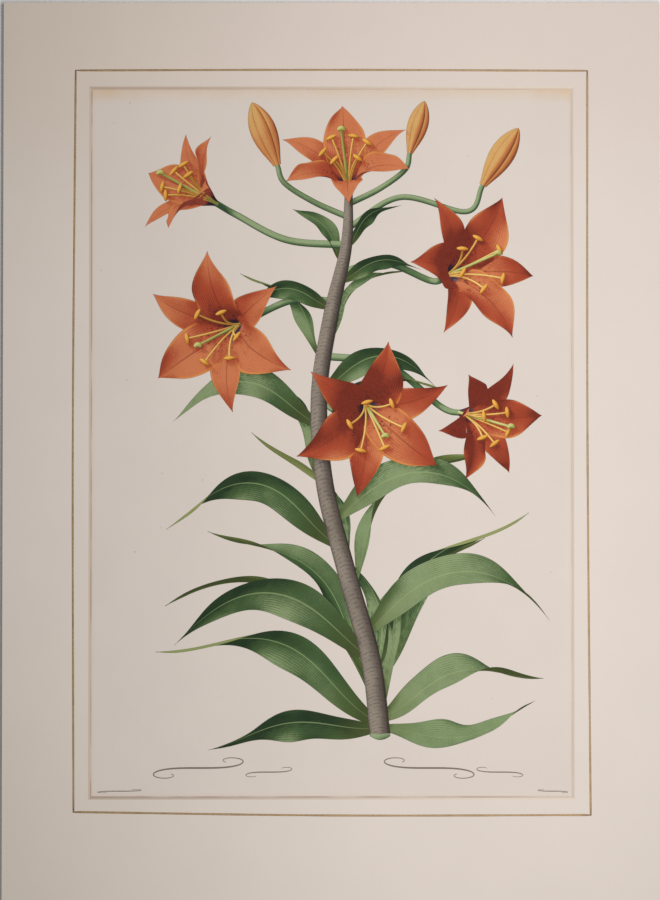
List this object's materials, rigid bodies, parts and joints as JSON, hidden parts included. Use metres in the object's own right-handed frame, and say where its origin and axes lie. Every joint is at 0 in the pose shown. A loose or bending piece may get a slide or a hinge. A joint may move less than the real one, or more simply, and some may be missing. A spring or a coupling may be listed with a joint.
{
  "type": "matted botanical print",
  "caption": "Botanical print mounted in a bevelled cream window mat with a gold line; the mat opens like a book cover on a cloth hinge.",
  "frame": {"origin": "middle of the backing board's underside", "axes": "+Z out of the picture towards the viewer, +Y towards the head of the picture, +X to its right"},
  "size_m": [0.485, 0.6644, 0.0039],
  "materials": {
    "mat_rag": "matte",
    "backing_rag": "matte",
    "print_paper": "matte",
    "gold_ink": "satin",
    "linen_tape": "matte",
    "hinge_tissue": "matte"
  },
  "bodies": {
    "backing": {"backing_board": "backing_rag", "print_sheet": "print_paper", "tape_leaf_back": "linen_tape", "tissue_tab_left": "hinge_tissue", "tissue_tab_right": "hinge_tissue", "tissue_cross_left": "hinge_tissue", "tissue_cross_right": "hinge_tissue"},
    "cover": {"window_mat": "mat_rag", "gold_line": "gold_ink", "tape_leaf_front": "linen_tape"}
  },
  "joints": [
    {"name": "mat_fold", "type": "hinge", "parent": "backing", "child": "cover", "pos_m": [-0.2428, 0, 0.00185], "axis": [0, -1, 0], "range_deg": [0, 180]}
  ]
}
